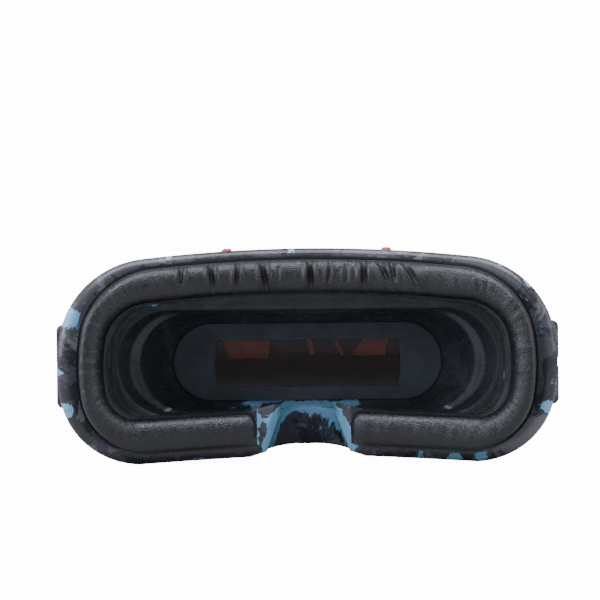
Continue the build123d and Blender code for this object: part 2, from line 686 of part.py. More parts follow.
# ---- Receivers, batteries and antenna jacks, one of each on either side ----
for side, name in ((-1, "left"), (1, "right")):
    with BuildPart() as receiver:
        with Locations((side * (BOX_HALF_X + RECEIVER_SIZE[0] / 2), RECEIVER_Y, RECEIVER_Z)):
            Box(*RECEIVER_SIZE)
    receiver.part.label = f"receiver_{name}"
    export_step(receiver.part, f"parts/receiver_{name}.step")

    with BuildPart() as battery:
        with Locations((side * BATTERY_X, BATTERY_Y, BATTERY_Z)):
            Box(*BATTERY_SIZE)
        fillet(battery.edges().filter_by(Axis.Y), BATTERY_FILLET)
    battery.part.label = f"battery_{name}"
    export_step(battery.part, f"parts/battery_{name}.step")

    with BuildPart() as antenna_jack:
        with BuildSketch(across(JACK_TAIL_Y)):
            with Locations((side * PORT_X, JACK_Z)):
                Circle(JACK_NECK_R)
        extrude(amount=JACK_TAIL_Y - PORT_FACE_Y)
        with BuildSketch(across(PORT_FACE_Y)):
            with Locations((side * PORT_X, JACK_Z)):
                RegularPolygon(HEX_R, 6)
        extrude(amount=-NUT_THICKNESS)
        with BuildSketch(across(PORT_FACE_Y + NUT_THICKNESS)):
            with Locations((side * PORT_X, JACK_Z)):
                Circle(JACK_R)
        extrude(amount=-(JACK_TIP_Y - PORT_FACE_Y - NUT_THICKNESS))
        with BuildSketch(across(JACK_TIP_Y)):
            with Locations((side * PORT_X, JACK_Z)):
                Circle(JACK_BORE_R)
        extrude(amount=JACK_BORE_DEPTH, mode=Mode.SUBTRACT)
    antenna_jack.part.label = f"antenna_jack_{name}"
    export_step(antenna_jack.part, f"parts/antenna_jack_{name}.step")

with BuildPart() as jack_nuts:
    with BuildSketch(across(PORT_BACK_Y)):
        with Locations((-PORT_X, JACK_Z), (PORT_X, JACK_Z)):
            RegularPolygon(HEX_R, 6)
            Circle(JACK_NECK_R, mode=Mode.SUBTRACT)
    extrude(amount=NUT_THICKNESS)
jack_nuts.part.label = "jack_nuts"
export_step(jack_nuts.part, "parts/jack_nuts.step")

# ---- Ports behind the front face ----
with BuildPart() as av_jack:
    with BuildSketch(across(PORT_SEAT_Y)):
        with Locations((-PORT_X, HIGH_PORT_Z)):
            Rectangle(AV_BODY[0], AV_BODY[2])
    extrude(amount=AV_BODY[1])
    with BuildSketch(across(PORT_SEAT_Y)):
        with Locations((-PORT_X, HIGH_PORT_Z)):
            Circle(AV_BORE_R)
    extrude(amount=AV_BORE_DEPTH, mode=Mode.SUBTRACT)
av_jack.part.label = "av_jack"
export_step(av_jack.part, "parts/av_jack.step")

with BuildPart() as dc_jack:
    with BuildSketch(across(PORT_SEAT_Y)):
        with Locations((-PORT_X, LOW_PORT_Z)):
            Rectangle(DC_BODY[0], DC_BODY[2])
    extrude(amount=DC_BODY[1])
    with BuildSketch(across(PORT_SEAT_Y)):
        with Locations((-PORT_X, LOW_PORT_Z)):
            Circle(DC_BORE_R)
            Circle(DC_PIN_R, mode=Mode.SUBTRACT)
    extrude(amount=DC_BORE_DEPTH, mode=Mode.SUBTRACT)
dc_jack.part.label = "dc_jack"
export_step(dc_jack.part, "parts/dc_jack.step")

with BuildPart() as power_switch:
    with BuildSketch(across(SLIDER_BACK_Y - SLIDE_PLAY)):
        with Locations((PORT_X, HIGH_PORT_Z)):
            Rectangle(SWITCH_BODY[0], SWITCH_BODY[2])
    extrude(amount=SWITCH_BODY[1])
power_switch.part.label = "power_switch"
export_step(power_switch.part, "parts/power_switch.step")

with BuildPart() as power_slider:
    with BuildSketch(across(SLIDER_BACK_Y)):
        with Locations((PORT_X - SLIDER_TRAVEL / 2, HIGH_PORT_Z)):
            Rectangle(SLIDER_SIZE[0], SLIDER_SIZE[1])
    extrude(amount=SLIDER_BACK_Y - SLIDER_TIP_Y)
    fillet(power_slider.faces().sort_by(Axis.Y)[-1].edges(), SLIDER_EDGE_R)
power_slider.part.label = "power_slider"
export_step(power_slider.part, "parts/power_slider.step")

with BuildPart() as card_slot:
    with BuildSketch(across(PORT_SEAT_Y)):
        with Locations((PORT_X, LOW_PORT_Z)):
            Rectangle(CARD_SLOT_SIZE[0], CARD_SLOT_SIZE[2])
    extrude(amount=CARD_SLOT_SIZE[1])
    with BuildSketch(across(PORT_SEAT_Y)):
        with Locations((PORT_X, LOW_PORT_Z)):
            Rectangle(CARD_SIZE[0] + 2 * SLIDE_PLAY, CARD_SIZE[2] + 2 * SLIDE_PLAY)
    extrude(amount=CARD_SLOT_SIZE[1] - CARD_SLOT_SIZE[2], mode=Mode.SUBTRACT)
card_slot.part.label = "card_slot"
export_step(card_slot.part, "parts/card_slot.step")

with BuildPart() as memory_card:
    with BuildSketch(Plane.XY.offset(LOW_PORT_Z - CARD_SIZE[2] / 2)):
        with Locations((PORT_X, CARD_FRONT_Y)):
            RectangleRounded(CARD_SIZE[0], CARD_SIZE[1], CARD_SIZE[2], align=(Align.CENTER, Align.MAX))
    extrude(amount=CARD_SIZE[2])
memory_card.part.label = "memory_card"
export_step(memory_card.part, "parts/memory_card.step")

with BuildPart() as light_pipe:
    with BuildSketch(across(LIGHT_PIPE_TIP_Y)):
        with Locations((0, LIGHT_PIPE_Z)):
            Circle(LIGHT_PIPE_R)
    extrude(amount=LIGHT_PIPE_LENGTH)
light_pipe.part.label = "light_pipe"
export_step(light_pipe.part, "parts/light_pipe.step")

# ---- Strap loops: a bar on two arms at each side, split so that a sewn strap slips on ----
loop_mid_z = (LOOP_Z[0] + LOOP_Z[1]) / 2
loop_height = LOOP_Z[1] - LOOP_Z[0]
for side, name in ((-1, "left"), (1, "right")):
    with BuildPart() as strap_loop:
        with BuildSketch(across(LOOP_Y[0])):
            with Locations((side * (LOOP_X + LOOP_ROOT_X) / 2, loop_mid_z)):
                RectangleRounded(LOOP_X - LOOP_ROOT_X, loop_height, LOOP_CORNER_R)
            with Locations((side * (LOOP_X + LOOP_ROOT_X - 2 * LOOP_BAR) / 2, loop_mid_z)):
                Rectangle(LOOP_X - LOOP_ROOT_X, loop_height - 2 * LOOP_BAR, mode=Mode.SUBTRACT)
            with Locations((side * LOOP_X, loop_mid_z)):
                Rectangle(3 * LOOP_BAR, LOOP_GAP, mode=Mode.SUBTRACT)
        extrude(amount=-(LOOP_Y[1] - LOOP_Y[0]))
        fillet(strap_loop.faces().filter_by(Axis.Y).edges().filter_by(GeomType.LINE), LOOP_EDGE_R)
        add(outer_block, mode=Mode.SUBTRACT)
    strap_loop.part.label = f"strap_loop_{name}"
    export_step(strap_loop.part, f"parts/strap_loop_{name}.step")

# ---- Screws that hold the two shells together ----
with BuildPart() as shell_screws:
    with BuildSketch(across(PARTING_Y + POST_SEAT)):
        for post_z in POST_Z:
            with Locations((-POST_X, post_z), (POST_X, post_z)):
                Circle(SCREW_HEAD_R)
    extrude(amount=-SCREW_HEAD)
    with BuildSketch(across(PARTING_Y + POST_SEAT)):
        for post_z in POST_Z:
            with Locations((-POST_X, post_z), (POST_X, post_z)):
                Circle(SCREW_R)
    extrude(amount=SCREW_LENGTH)
shell_screws.part.label = "shell_screws"
export_step(shell_screws.part, "parts/shell_screws.step")
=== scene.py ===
"""FPV goggles: materials, the padded face cushion, the studio and the camera."""
import json
from math import atan2, copysign, cos, exp, pi, radians, sin, sqrt

import bmesh
import bpy
from mathutils import Matrix, Vector, noise


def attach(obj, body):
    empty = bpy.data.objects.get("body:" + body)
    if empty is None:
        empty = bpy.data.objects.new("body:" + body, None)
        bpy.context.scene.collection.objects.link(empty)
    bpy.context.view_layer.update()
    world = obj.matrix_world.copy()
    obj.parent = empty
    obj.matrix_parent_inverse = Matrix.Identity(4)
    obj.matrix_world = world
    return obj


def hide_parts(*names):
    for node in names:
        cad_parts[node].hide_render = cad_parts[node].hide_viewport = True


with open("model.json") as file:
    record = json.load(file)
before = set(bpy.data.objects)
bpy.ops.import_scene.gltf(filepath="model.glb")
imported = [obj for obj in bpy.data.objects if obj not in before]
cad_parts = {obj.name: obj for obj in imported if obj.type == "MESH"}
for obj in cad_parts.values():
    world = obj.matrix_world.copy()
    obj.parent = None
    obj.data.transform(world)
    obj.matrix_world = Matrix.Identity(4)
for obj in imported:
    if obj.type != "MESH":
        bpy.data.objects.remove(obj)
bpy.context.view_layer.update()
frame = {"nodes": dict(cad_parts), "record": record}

# ---- The housing's outline and the wrap of the face, as in the model (metres) ----
CROWN_Z = 0.0816
CROWN_RADIUS = 0.477
CROWN_X = 0.062
SIDE_X = 0.0915
SIDE_LEAN = 0.2
SHOULDER_Z = 0.050
HEEL_Z = 0.024
FOOT_X = 0.064
ARCH_X = 0.022
ARCH_Z = 0.0019
FACE_RADIUS = 0.194
FACE_AXIS_Y = -0.2174
RIM_SQUEEZE = 0.004

# ---- Pad ----
PAD_OUTER_INSET = 0.0048
PAD_INNER_INSET = 0.0172
PAD_BASE = 0.0017
PAD_CREST = 0.0122
PAD_ENDS = (0.0192, 0.0162)  # the left one stops further from the middle
PAD_END_ROUND = 0.0035
PAD_STEPS = {"crown": 150, "shoulder": 80, "side": 40, "heel": 70, "belly": 90}
PAD_RING = 44
PAD_SQUARENESS = (0.86, 0.88)  # under 1 the section is squarer than an ellipse, across and in height
PAD_SWELL = (90.0, 0.00035)  # how many a metre, and how high
PAD_RIPPLE = (420.0, 60.0, 0.00022)  # how many a metre along the pad and up it, and how high
RIPPLE_SLICE = 3.1  # which slice of the noise the ripple is taken from
END_FULLNESS = 0.25  # of the section that is left at the pad's very ends
END_BLUNTNESS = 0.6  # under 1 the ends are blunter than a half round

# Place, lean, half width and depth of each pinch along the brow.
PINCHES = [
    (-0.0465, 0.00, 0.0007, 0.0014),
    (-0.0355, -0.15, 0.0008, 0.0019),
    (-0.0258, 0.05, 0.0007, 0.0015),
    (-0.0160, -0.18, 0.0009, 0.0021),
    (-0.0105, 0.10, 0.0006, 0.0006),
    (0.0015, -0.05, 0.0009, 0.0022),
    (0.0085, 0.10, 0.0006, 0.0012),
    (0.0150, 0.00, 0.0007, 0.0010),
    (0.0215, 0.00, 0.0009, 0.0021),
    (0.0290, -0.45, 0.0009, 0.0018),
    (0.0322, -0.10, 0.0008, 0.0018),
    (0.0385, -0.55, 0.0010, 0.0018),
]
PINCH_Z = 0.0715
PINCH_REACH = 0.0056  # above and below PINCH_Z
PINCH_SHARPNESS = 1.4
PINCH_BULGE = 0.45  # of its depth, on each side of a pinch
BULGE_AWAY = 2.2  # half widths from the pinch


# ---------------------------------------------------------------- node helpers
def new_material(name):
    """A material with only its shader and output, and the shader to build on."""
    material = bpy.data.materials.new(name)
    material.use_nodes = True
    tree = material.node_tree
    return material, tree, tree.nodes["Principled BSDF"]


def set_sockets(node, **values):
    """Sets named sockets; an underscore in a name stands for a space."""
    for key, value in values.items():
        node.inputs[key.replace("_", " ")].default_value = value


def coordinates(tree):
    """Places on the object in metres."""
    return tree.nodes.new("ShaderNodeTexCoord").outputs["Object"]


def noise_at(tree, vector, scale, detail=4.0, roughness=0.55, distortion=0.0):
    node = tree.nodes.new("ShaderNodeTexNoise")
    set_sockets(node, Scale=scale, Detail=detail, Roughness=roughness, Distortion=distortion)
    tree.links.new(vector, node.inputs["Vector"])
    return node.outputs["Fac"]


def cells_at(tree, vector, scale, feature="F1"):
    node = tree.nodes.new("ShaderNodeTexVoronoi")
    node.feature = feature
    set_sockets(node, Scale=scale)
    tree.links.new(vector, node.inputs["Vector"])
    return node.outputs["Distance"]


def shifted(tree, vector, offset, scale=(1, 1, 1)):
    node = tree.nodes.new("ShaderNodeMapping")
    set_sockets(node, Location=offset, Scale=scale)
    tree.links.new(vector, node.inputs["Vector"])
    return node.outputs["Vector"]


def math(tree, operation, first, second):
    node = tree.nodes.new("ShaderNodeMath")
    node.operation = operation
    for socket, value in zip(node.inputs, (first, second)):
        if isinstance(value, (int, float)):
            socket.default_value = value
        else:
            tree.links.new(value, socket)
    return node.outputs[0]


def band(tree, value, low, high, out_low=0.0, out_high=1.0):
    """Maps low..high to out_low..out_high and clamps."""
    node = tree.nodes.new("ShaderNodeMapRange")
    for key, number in (("From Min", low), ("From Max", high), ("To Min", out_low), ("To Max", out_high)):
        node.inputs[key].default_value = number
    tree.links.new(value, node.inputs["Value"])
    return node.outputs["Result"]


def mix_color(tree, factor, under, over):
    node = tree.nodes.new("ShaderNodeMix")
    node.data_type = "RGBA"
    tree.links.new(factor, node.inputs[0])
    for socket, value in ((node.inputs[6], under), (node.inputs[7], over)):
        if isinstance(value, tuple):
            socket.default_value = (*value, 1.0)
        else:
            tree.links.new(value, socket)
    return node.outputs[2]


def bump(tree, height, distance, strength=1.0, normal=None):
    node = tree.nodes.new("ShaderNodeBump")
    set_sockets(node, Distance=distance, Strength=strength)
    tree.links.new(height, node.inputs["Height"])
    if normal is not None:
        tree.links.new(normal, node.inputs["Normal"])
    return node.outputs["Normal"]


def radius_in(tree, position, centre, reach):
    """The distance from centre, measured in an ellipsoid's three half widths."""
    scale = tuple(1.0 / width for width in reach)
    offset = tuple(-place * each for place, each in zip(centre, scale))
    node = tree.nodes.new("ShaderNodeVectorMath")
    node.operation = "LENGTH"
    tree.links.new(shifted(tree, position, offset, scale), node.inputs[0])
    return node.outputs["Value"]


def blob(tree, position, centre, reach):
    """1 at centre, falling to 0 at the ellipsoid's surface."""
    return band(tree, radius_in(tree, position, centre, reach), 0.0, 1.0, 1.0, 0.0)


# ------------------------------------------------------------------- materials
CHARCOAL = (0.066, 0.067, 0.078)
INK = (0.028, 0.028, 0.035)
SKY = (0.215, 0.480, 0.710)
DEEP_BLUE = (0.030, 0.075, 0.200)
PLUM = (0.060, 0.052, 0.085)
ASH = (0.140, 0.142, 0.155)
# Painted shade: the near black laid over the funnel's walls.
FUNNEL_SHADE_BLACK = (0.0165, 0.0215, 0.0270)

# The noise behind each colour of the print: its offset, scale, detail, roughness and distortion,
# and the two levels between which the colour comes in.
INK_NOISE = ((0.0, 0.0, 0.0), 26.0, 5.0, 0.62, 1.6)
INK_EDGE = (0.505, 0.520)
ASH_NOISE = ((0.31, 0.12, 0.57), 30.0, 6.0, 0.68, 2.2)
ASH_EDGE = (0.575, 0.590)
PLUM_NOISE = ((0.77, 0.35, 0.21), 24.0, 5.0, 0.60, 1.4)
PLUM_EDGE = (0.615, 0.630)
BLUE_NOISE = ((0.13, 0.83, 0.41), 34.0, 8.0, 0.68, 1.7)
DEEP_BLUE_EDGE = (0.625, 0.631)
SKY_EDGE = (0.638, 0.646)
PRINT_STRETCH = (1.0, 0.55, 1.0)  # the patches are longest front to back

# How much each region adds to or takes from the noise behind a colour.
WORN_HEEL = ((0.078, -0.040, 0.008), (0.022, 0.024, 0.018))
HEEL_ASH = 0.22
PATCH_BLUE = 0.34
# How much blue the painted shade in the funnel takes from the print.
FUNNEL_SHADE_BLUE = 0.12
OUTSIDE_BLUE = 0.035
OUTSIDE_Y = (-0.002, 0.012)  # the extra blue comes in between these depths
PRINT_ROUGHNESS = (0.20, 0.42)
FUNNEL_SHADE_ROUGHNESS = 0.14  # more than the print's own
EDGE_RADIUS = 0.0022  # the moulded edges look this soft

# Where the print shows sky blue round the rim: middle of each patch and its half widths.
FAR = 0.060  # a half width that reaches through the whole rim
SPLINTERS = [
    ((-0.0885, -0.040, 0.0565), (0.0060, 0.034, 0.0066)),
    ((-0.0925, -0.040, 0.0347), (0.0060, 0.020, 0.0024)),
    ((-0.0900, -0.044, 0.0215), (0.0060, 0.016, 0.0048)),
    ((-0.0516, -0.030, 0.0795), (0.0024, 0.012, 0.0036)),
    ((-0.0400, -0.020, 0.0820), (0.0060, 0.010, 0.0016)),
    ((-0.0420, -0.024, 0.0003), (0.0100, 0.014, 0.0020)),
    ((0.0490, -0.026, 0.0820), (0.0045, 0.014, 0.0020)),
    ((0.0740, -0.034, 0.0755), (0.0060, 0.016, 0.0045)),
    ((0.0830, -0.036, 0.0690), (0.0060, 0.020, 0.0075)),
    ((0.0895, -0.044, 0.0205), (0.0060, 0.016, 0.0038)),
    ((0.0425, -0.030, 0.0020), (0.0024, 0.014, 0.0040)),
    ((0.0555, -0.031, 0.0016), (0.0042, 0.018, 0.0046)),
    ((0.0650, -0.033, 0.0022), (0.0055, 0.018, 0.0044)),
    ((0.0745, -0.024, 0.0330), (0.0022, 0.014, 0.0110)),
    ((-0.0715, -0.030, 0.0480), (0.0020, 0.014, 0.0050)),
    ((-0.0590, -0.026, 0.0605), (0.0100, 0.014, 0.0018)),
    ((-0.0205, -0.014, 0.0160), (0.0030, FAR, 0.0150)),
    ((0.0200, -0.016, 0.0215), (0.0036, 0.030, 0.0034)),
]
ARCH_MIDDLE = (0.0008, 0.0, 0.0030)
ARCH_REACH = (0.0160, FAR, 0.0215)
ARCH_RIDGE = 0.26  # how far the blue spreads on each side of the arch's outline
ARCH_RAGGED_Z = (0.0105, 0.0235)  # inside the arch the blue fades out downwards between these
ARCH_INSIDE = (0.98, 1.16)
ARCH_END_Y = (-0.001, 0.006)
# The funnel's walls get painted shade, darker and less blue than the print: middle of each stretch and its
# half widths.
FUNNEL_SHADE_REGIONS = [
    ((-0.050, -0.012, 0.040), (0.048, 0.028, 0.042)),
    ((0.050, -0.012, 0.040), (0.048, 0.028, 0.042)),
    ((0.0, -0.012, 0.055), (0.070, 0.026, 0.024)),
]


def nose_arch(tree, here):
    """The blue arch over the nose: both ridges, and the saddle's top down to a ragged edge."""
    radius = radius_in(tree, here, ARCH_MIDDLE, ARCH_REACH)
    off_ridge = math(tree, "ABSOLUTE", math(tree, "SUBTRACT", radius, 1.0), 0.0)
    ridge = band(tree, off_ridge, 0.0, ARCH_RIDGE, 1.0, 0.0)
    split = tree.nodes.new("ShaderNodeSeparateXYZ")
    tree.links.new(here, split.inputs[0])
    height = band(tree, split.outputs["Z"], *ARCH_RAGGED_Z)
    inside = band(tree, radius, *ARCH_INSIDE, 1.0, 0.0)
    near = band(tree, split.outputs["Y"], *ARCH_END_Y, 1.0, 0.0)
    arch = math(tree, "MAXIMUM", ridge, math(tree, "MULTIPLY", height, inside))
    return math(tree, "MULTIPLY", arch, near)


def halftone(tree, here):
    """Small clusters of printed dots."""
    dots = tree.nodes.new("ShaderNodeTexVoronoi")
    set_sockets(dots, Scale=1500.0, Randomness=0.0)
    tree.links.new(here, dots.inputs["Vector"])
    dot = band(tree, dots.outputs["Distance"], 0.22, 0.34, 1.0, 0.0)
    cluster = band(tree, noise_at(tree, here, 170.0, 1.0, 0.4), 0.63, 0.66)
    return math(tree, "MULTIPLY", dot, cluster)


def widest(tree, here, regions, start=None):
    """The largest of start and each region's blob."""
    result = start
    for middle, reach in regions:
        region = blob(tree, here, middle, reach)
        result = region if result is None else math(tree, "MAXIMUM", result, region)
    return result


def print_noise(tree, warp, offset, *shape):
    """The noise behind one colour of the print."""
    return noise_at(tree, shifted(tree, warp, offset), *shape)


def camouflage():
    """Printed camouflage film under a clear coat: charcoal and ink, sky-blue splinters, and painted shade
    that darkens the funnel's walls.
    """
    material, tree, shader = new_material("camouflage")
    here = coordinates(tree)
    warp = shifted(tree, here, (0.0, 0.0, 0.0), PRINT_STRETCH)
    ink = print_noise(tree, warp, *INK_NOISE)
    color = mix_color(tree, band(tree, ink, *INK_EDGE), CHARCOAL, INK)
    ash = print_noise(tree, warp, *ASH_NOISE)
    ash = math(tree, "ADD", ash, math(tree, "MULTIPLY", blob(tree, here, *WORN_HEEL), HEEL_ASH))
    color = mix_color(tree, band(tree, ash, *ASH_EDGE), color, ASH)
    plum = print_noise(tree, warp, *PLUM_NOISE)
    color = mix_color(tree, band(tree, plum, *PLUM_EDGE), color, PLUM)

    # Painted shade in the funnel's recess: where it lies, the print turns near black and loses its blue.
    funnel_shade = band(tree, widest(tree, here, FUNNEL_SHADE_REGIONS), 0.0, 0.35)
    patches = widest(tree, here, SPLINTERS, nose_arch(tree, here))
    blue = print_noise(tree, warp, *BLUE_NOISE)
    blue = math(tree, "ADD", blue, math(tree, "MULTIPLY", patches, PATCH_BLUE))
    blue = math(tree, "SUBTRACT", blue, math(tree, "MULTIPLY", funnel_shade, FUNNEL_SHADE_BLUE))
    split = tree.nodes.new("ShaderNodeSeparateXYZ")
    tree.links.new(here, split.inputs[0])
    blue = math(tree, "ADD", blue, band(tree, split.outputs["Y"], *OUTSIDE_Y, 0.0, OUTSIDE_BLUE))
    # Painted shade: the funnel's walls darkened towards near black.
    color = mix_color(tree, math(tree, "MULTIPLY", funnel_shade, 0.85), color, FUNNEL_SHADE_BLACK)
    color = mix_color(tree, band(tree, blue, *DEEP_BLUE_EDGE), color, DEEP_BLUE)
    color = mix_color(tree, band(tree, blue, *SKY_EDGE), color, SKY)
    speck = noise_at(tree, here, 900.0, 2.0)
    color = mix_color(tree, band(tree, speck, 0.63, 0.70, 0.0, 0.25), color, ASH)
    dots = halftone(tree, here)
    color = mix_color(tree, math(tree, "MULTIPLY", dots, 0.8), color, INK)
    tree.links.new(color, shader.inputs["Base Color"])

    smear = noise_at(tree, here, 55.0, 6.0, 0.6)
    roughness = band(tree, smear, 0.3, 0.75, *PRINT_ROUGHNESS)
    roughness = math(tree, "ADD", roughness, math(tree, "MULTIPLY", funnel_shade, FUNNEL_SHADE_ROUGHNESS))
    tree.links.new(roughness, shader.inputs["Roughness"])
    set_sockets(shader, Coat_Weight=0.38, Coat_Roughness=0.10, Specular_IOR_Level=0.4)
    edges = tree.nodes.new("ShaderNodeBevel")
    set_sockets(edges, Radius=EDGE_RADIUS)
    peel = noise_at(tree, here, 420.0, 4.0, 0.6)
    relief = math(tree, "SUBTRACT", peel, math(tree, "MULTIPLY", dots, 0.6))
    pebbles = noise_at(tree, here, 650.0, 3.0, 0.7)
    worn = band(tree, noise_at(tree, shifted(tree, here, (0.4, 0.1, 0.9)), 45.0, 4.0), 0.47, 0.56)
    relief = math(tree, "ADD", relief, math(tree, "MULTIPLY", math(tree, "MULTIPLY", pebbles, worn), 2.2))
    tree.links.new(bump(tree, relief, 0.00022, 0.7, edges.outputs["Normal"]), shader.inputs["Normal"])
    return material


def leatherette():
    """Black grained leatherette with faint greyer clouds and dark creases between its grains."""
    material, tree, shader = new_material("leatherette")
    here = coordinates(tree)
    grain = cells_at(tree, here, 1150.0, "DISTANCE_TO_EDGE")
    fine = noise_at(tree, here, 2600.0, 3.0, 0.6)
    tone = noise_at(tree, here, 60.0, 4.0)
    color = mix_color(tree, band(tree, tone, 0.35, 0.7), (0.0065, 0.0060, 0.0095), (0.0130, 0.0122, 0.0175))
    color = mix_color(tree, band(tree, grain, 0.0, 0.12, 0.7, 0.0), color, (0.0015, 0.0015, 0.0018))
    tree.links.new(color, shader.inputs["Base Color"])
    sheen = noise_at(tree, here, 140.0, 5.0, 0.6)
    tree.links.new(band(tree, sheen, 0.3, 0.7, 0.25, 0.38), shader.inputs["Roughness"])
    set_sockets(shader, Specular_IOR_Level=0.5, Coat_Weight=0.22, Coat_Roughness=0.26)
    relief = math(tree, "ADD", band(tree, grain, 0.0, 0.25), math(tree, "MULTIPLY", fine, 0.5))
    tree.links.new(bump(tree, relief, 0.00011, 0.75), shader.inputs["Normal"])
    return material


def moulded(name, color, roughness, grain=1500.0, depth=0.00005, **sockets):
    """Moulded plastic with a fine spark-eroded texture."""
    material, tree, shader = new_material(name)
    here = coordinates(tree)
    texture = noise_at(tree, here, grain, 3.0, 0.6)
    cloud = noise_at(tree, here, 90.0, 4.0)
    lighter = tuple(min(1.0, c * 1.5 + 0.002) for c in color)
    tree.links.new(mix_color(tree, band(tree, cloud, 0.35, 0.7), color, lighter), shader.inputs["Base Color"])
    finish = band(tree, cloud, 0.3, 0.7, roughness - 0.06, roughness + 0.08)
    tree.links.new(finish, shader.inputs["Roughness"])
    set_sockets(shader, **sockets)
    tree.links.new(bump(tree, texture, depth, 0.6), shader.inputs["Normal"])
    return material


def brushed(name, color, stretch=(1.0, 40.0, 1.0), roughness=0.3):
    """Metal with fine scratches, packed closer along the axis whose stretch is large."""
    material, tree, shader = new_material(name)
    here = shifted(tree, coordinates(tree), (0, 0, 0), stretch)
    scratch = noise_at(tree, here, 260.0, 6.0, 0.7)
    darker = tuple(c * 0.7 for c in color)
    tree.links.new(mix_color(tree, scratch, darker, color), shader.inputs["Base Color"])
    finish = band(tree, scratch, 0.3, 0.7, roughness - 0.1, roughness + 0.15)
    tree.links.new(finish, shader.inputs["Roughness"])
    set_sockets(shader, Metallic=1.0)
    tree.links.new(bump(tree, scratch, 0.00003, 0.5), shader.inputs["Normal"])
    return material


def glass(name, tint, transmission, roughness=0.02):
    """Tinted glass with the faintest smears."""
    material, tree, shader = new_material(name)
    smear = noise_at(tree, coordinates(tree), 45.0, 5.0)
    tree.links.new(band(tree, smear, 0.4, 0.8, roughness, roughness + 0.05), shader.inputs["Roughness"])
    set_sockets(shader, Base_Color=(*tint, 1.0), Transmission_Weight=transmission, IOR=1.5,
                Specular_IOR_Level=0.35)
    return material


def circuit_board():
    """Green solder mask crossed by a web of darker tracks."""
    material, tree, shader = new_material("circuit_board")
    here = coordinates(tree)
    tracks = cells_at(tree, shifted(tree, here, (0, 0, 0), (1.0, 1.0, 0.05)), 420.0, "DISTANCE_TO_EDGE")
    color = mix_color(tree, band(tree, tracks, 0.02, 0.05), (0.03, 0.16, 0.06), (0.008, 0.06, 0.025))
    tree.links.new(color, shader.inputs["Base Color"])
    set_sockets(shader, Roughness=0.35)
    tree.links.new(bump(tree, tracks, 0.00005, 0.6), shader.inputs["Normal"])
    return material


BLACK_MATTE = moulded("matte_black", (0.0440, 0.0520, 0.0630), 0.52, Specular_IOR_Level=0.2)
BLACK_GLOSS = moulded("glossy_black", (0.010, 0.010, 0.012), 0.24, 700.0, 0.00003, Coat_Weight=0.3)
MATERIALS = {
    "shell": camouflage(),
    "pad": leatherette(),
    "black_plastic": BLACK_MATTE,
    "smoked_window": glass("smoked_window", (0.42, 0.28, 0.27), 0.97),
    "clear_glass": glass("clear_glass", (0.20, 0.20, 0.22), 1.0),
    "mirror": brushed("mirror", (0.10, 0.10, 0.11), (1.0, 1.0, 1.0), 0.12),
    "screen": moulded("screen", (0.010, 0.011, 0.015), 0.14, 400.0, 0.00001),
    "steel": brushed("steel", (0.55, 0.55, 0.57)),
    "amber_film": moulded("amber_film", (0.95, 0.30, 0.12), 0.32, 500.0, 0.00003),
    "circuit_board": circuit_board(),
    "battery_wrap": moulded("battery_wrap", (0.03, 0.08, 0.22), 0.28, 300.0, 0.00008, Coat_Weight=0.3),
    "gold_brass": brushed("gold_brass", (0.80, 0.56, 0.22), (40.0, 1.0, 1.0), 0.25),
    "red_plastic": moulded("red_plastic", (0.55, 0.012, 0.010), 0.26, 600.0, 0.00002, Coat_Weight=0.4),
}


def dress_nodes():
    """Gives every CAD node the material of its record slot."""
    for entry in frame["record"]["subparts"]:
        mesh = frame["nodes"][entry["node"]].data
        mesh.materials.clear()
        mesh.materials.append(MATERIALS[entry["material_slot"]])
    frame["nodes"]["pad_frame"].data.materials[0] = BLACK_GLOSS


# ---------------------------------------------------------------- the face pad
def turned(vector, angle):
    """The vector turned anticlockwise by angle."""
    return Vector((vector.x * cos(angle) - vector.y * sin(angle),
                   vector.x * sin(angle) + vector.y * cos(angle)))


def arc_from(start, heading, end, steps):
    """Points along the arc that leaves start along heading and reaches end, and its last heading."""
    chord = end - start
    half_turn = atan2(heading.x * chord.y - heading.y * chord.x, heading.dot(chord))
    points = []
    for step in range(1, steps + 1):
        part = half_turn * step / steps
        length = chord.length * sin(part) / sin(half_turn)
        points.append(start + turned(heading, part) * length)
    return points, turned(heading, 2 * half_turn)


def half_outline(inset, squeeze, end_x):
    """Half the housing's outline, from the top middle down to end_x beside the nose, drawn in by inset."""
    radius = CROWN_RADIUS - inset
    crown_x = CROWN_X * radius / CROWN_RADIUS - squeeze
    crown_z = CROWN_Z - inset - radius + sqrt(radius**2 - crown_x**2)
    side_x = SIDE_X - inset - squeeze
    corners = [
        ("crown", Vector((crown_x, crown_z))),
        ("shoulder", Vector((side_x, SHOULDER_Z - inset * SIDE_LEAN))),
        ("side", Vector((side_x, HEEL_Z + inset * SIDE_LEAN))),
        ("heel", Vector((FOOT_X - squeeze, inset))),
    ]
    place = Vector((0.0, CROWN_Z - inset))
    heading = Vector((1.0, 0.0))
    points = [place]
    for name, corner in corners:
        stretch, heading = arc_from(place, heading, corner, PAD_STEPS[name])
        points += stretch
        place = corner
    nose = Vector((ARCH_X, ARCH_Z + inset))
    slope = (nose - place) / (nose.x - place.x)
    last = place + slope * (end_x - place.x)
    steps = PAD_STEPS["belly"]
    points += [place.lerp(last, step / steps) for step in range(1, steps + 1)]
    return points


def whole_outline(inset, squeeze):
    """Both halves, from the left of the nose over the brow to its right."""
    left, right = [half_outline(inset, squeeze, end_x) for end_x in PAD_ENDS]
    return [Vector((-point.x, point.y)) for point in reversed(left)] + right[1:]


def on_face(x, z, height):
    """The point over (x, z) that stands height proud of the rim's curved surface."""
    radius = FACE_RADIUS - height
    return Vector((x, FACE_AXIS_Y + sqrt(radius**2 - x**2), z))


def pinch(x, z):
    """How deep the cover is pinched at a place on the pad, in metres."""
    depth = 0.0
    for place, lean, width, strength in PINCHES:
        middle = place + lean * (z - PINCH_Z)
        away = abs(x - middle) / width
        along = exp(-(((z - PINCH_Z) / PINCH_REACH) ** 2))
        bulge = PINCH_BULGE * exp(-((away - BULGE_AWAY) ** 2))
        depth += strength * along * (exp(-away * PINCH_SHARPNESS) - bulge)
    return depth


